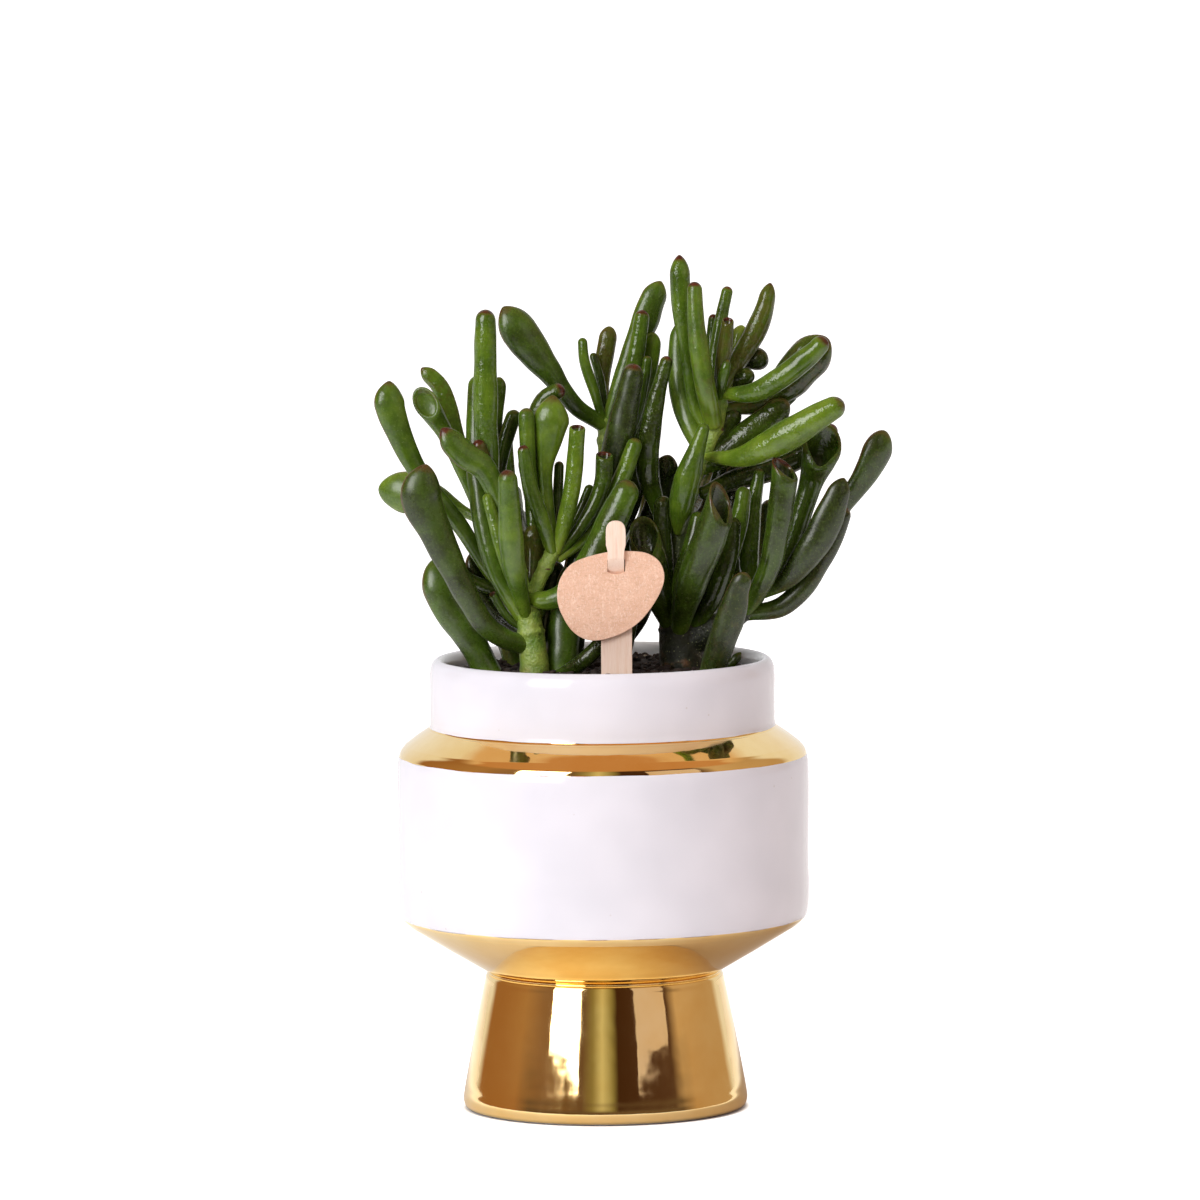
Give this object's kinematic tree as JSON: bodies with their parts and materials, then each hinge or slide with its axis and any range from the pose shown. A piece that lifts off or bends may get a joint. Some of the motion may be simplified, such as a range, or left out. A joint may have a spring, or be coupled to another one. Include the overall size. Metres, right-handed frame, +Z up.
{
  "type": "potted hobbit jade",
  "caption": "Upright succulent with finger-like, spoon-shaped and cup-tipped leaves on stout stems, in a grower's pot inside a glazed footed cover pot, with a board label on a wooden stake.",
  "frame": {"origin": "centre of the foot's flat underside, on the axis of the cover pot", "axes": "+Z up along the pot's axis; -Y is the front, which the label faces; +X is to the right as seen from the front"},
  "size_m": [0.1565, 0.1256, 0.2604],
  "materials": {
    "glaze": "gloss",
    "black_plastic": "satin",
    "soil": "matte",
    "stake_wood": "matte",
    "label_board": "matte",
    "green_stem": "satin",
    "dark_stem": "satin",
    "green_leaf": "gloss",
    "middle_leaf": "gloss",
    "dark_leaf": "gloss"
  },
  "bodies": {
    "root": {"cover_pot": "glaze", "nursery_pot": "black_plastic", "soil": "soil", "label_stake": "stake_wood", "label_board": "label_board", "left_stem": "green_stem", "middle_stem": "dark_stem", "right_stem": "dark_stem", "left_big_spoon_leaf": "green_leaf", "left_low_spoon_leaf": "green_leaf", "left_high_spoon_leaf": "green_leaf", "left_far_disc_leaf": "green_leaf", "left_trumpet_leaf": "green_leaf", "left_back_finger_leaf": "green_leaf", "left_beak_leaf": "green_leaf", "left_front_finger_leaf": "green_leaf", "left_pale_finger_leaf": "green_leaf", "left_tall_finger_leaf": "green_leaf", "left_inner_finger_leaf": "green_leaf", "fork_left_finger_leaf": "green_leaf", "fork_front_finger_leaf": "green_leaf", "fork_big_spoon_leaf": "green_leaf", "fork_trumpet_leaf": "green_leaf", "fork_far_trumpet_leaf": "green_leaf", "label_curl_leaf": "green_leaf", "fork_bright_finger_leaf": "green_leaf", "left_dark_blade_leaf": "green_leaf", "top_left_spoon_leaf": "middle_leaf", "middle_olive_leaf": "middle_leaf", "middle_dark_finger_leaf": "middle_leaf", "middle_back_spoon_leaf": "middle_leaf", "middle_slim_finger_leaf": "middle_leaf", "middle_right_finger_leaf": "middle_leaf", "tallest_leaf": "dark_leaf", "right_front_tall_leaf": "dark_leaf", "right_left_finger_leaf": "dark_leaf", "right_top_finger_leaf": "dark_leaf", "right_top_lean_leaf": "dark_leaf", "right_arm_upper_leaf": "dark_leaf", "right_arm_back_spoon_leaf": "dark_leaf", "right_bright_arm_leaf": "dark_leaf", "right_arm_dark_leaf": "dark_leaf", "right_big_trumpet_leaf": "dark_leaf", "right_slot_cup_leaf": "dark_leaf", "right_broad_blade_leaf": "dark_leaf", "right_low_curved_leaf": "dark_leaf", "right_far_spoon_leaf": "dark_leaf", "right_front_slot_cup_leaf": "dark_leaf", "right_inner_blade_leaf": "dark_leaf", "right_soil_finger_leaf": "dark_leaf", "right_bright_finger_leaf": "dark_leaf", "right_shade_cup_leaf": "dark_leaf", "centre_soil_leaf": "middle_leaf", "back_left_spoon_leaf": "middle_leaf", "back_left_finger_leaf": "middle_leaf", "back_fork_finger_leaf": "middle_leaf", "back_middle_spoon_leaf": "middle_leaf", "back_right_spoon_leaf": "middle_leaf", "back_right_finger_leaf": "middle_leaf", "back_low_spoon_leaf": "middle_leaf"}
  },
  "joints": []
}
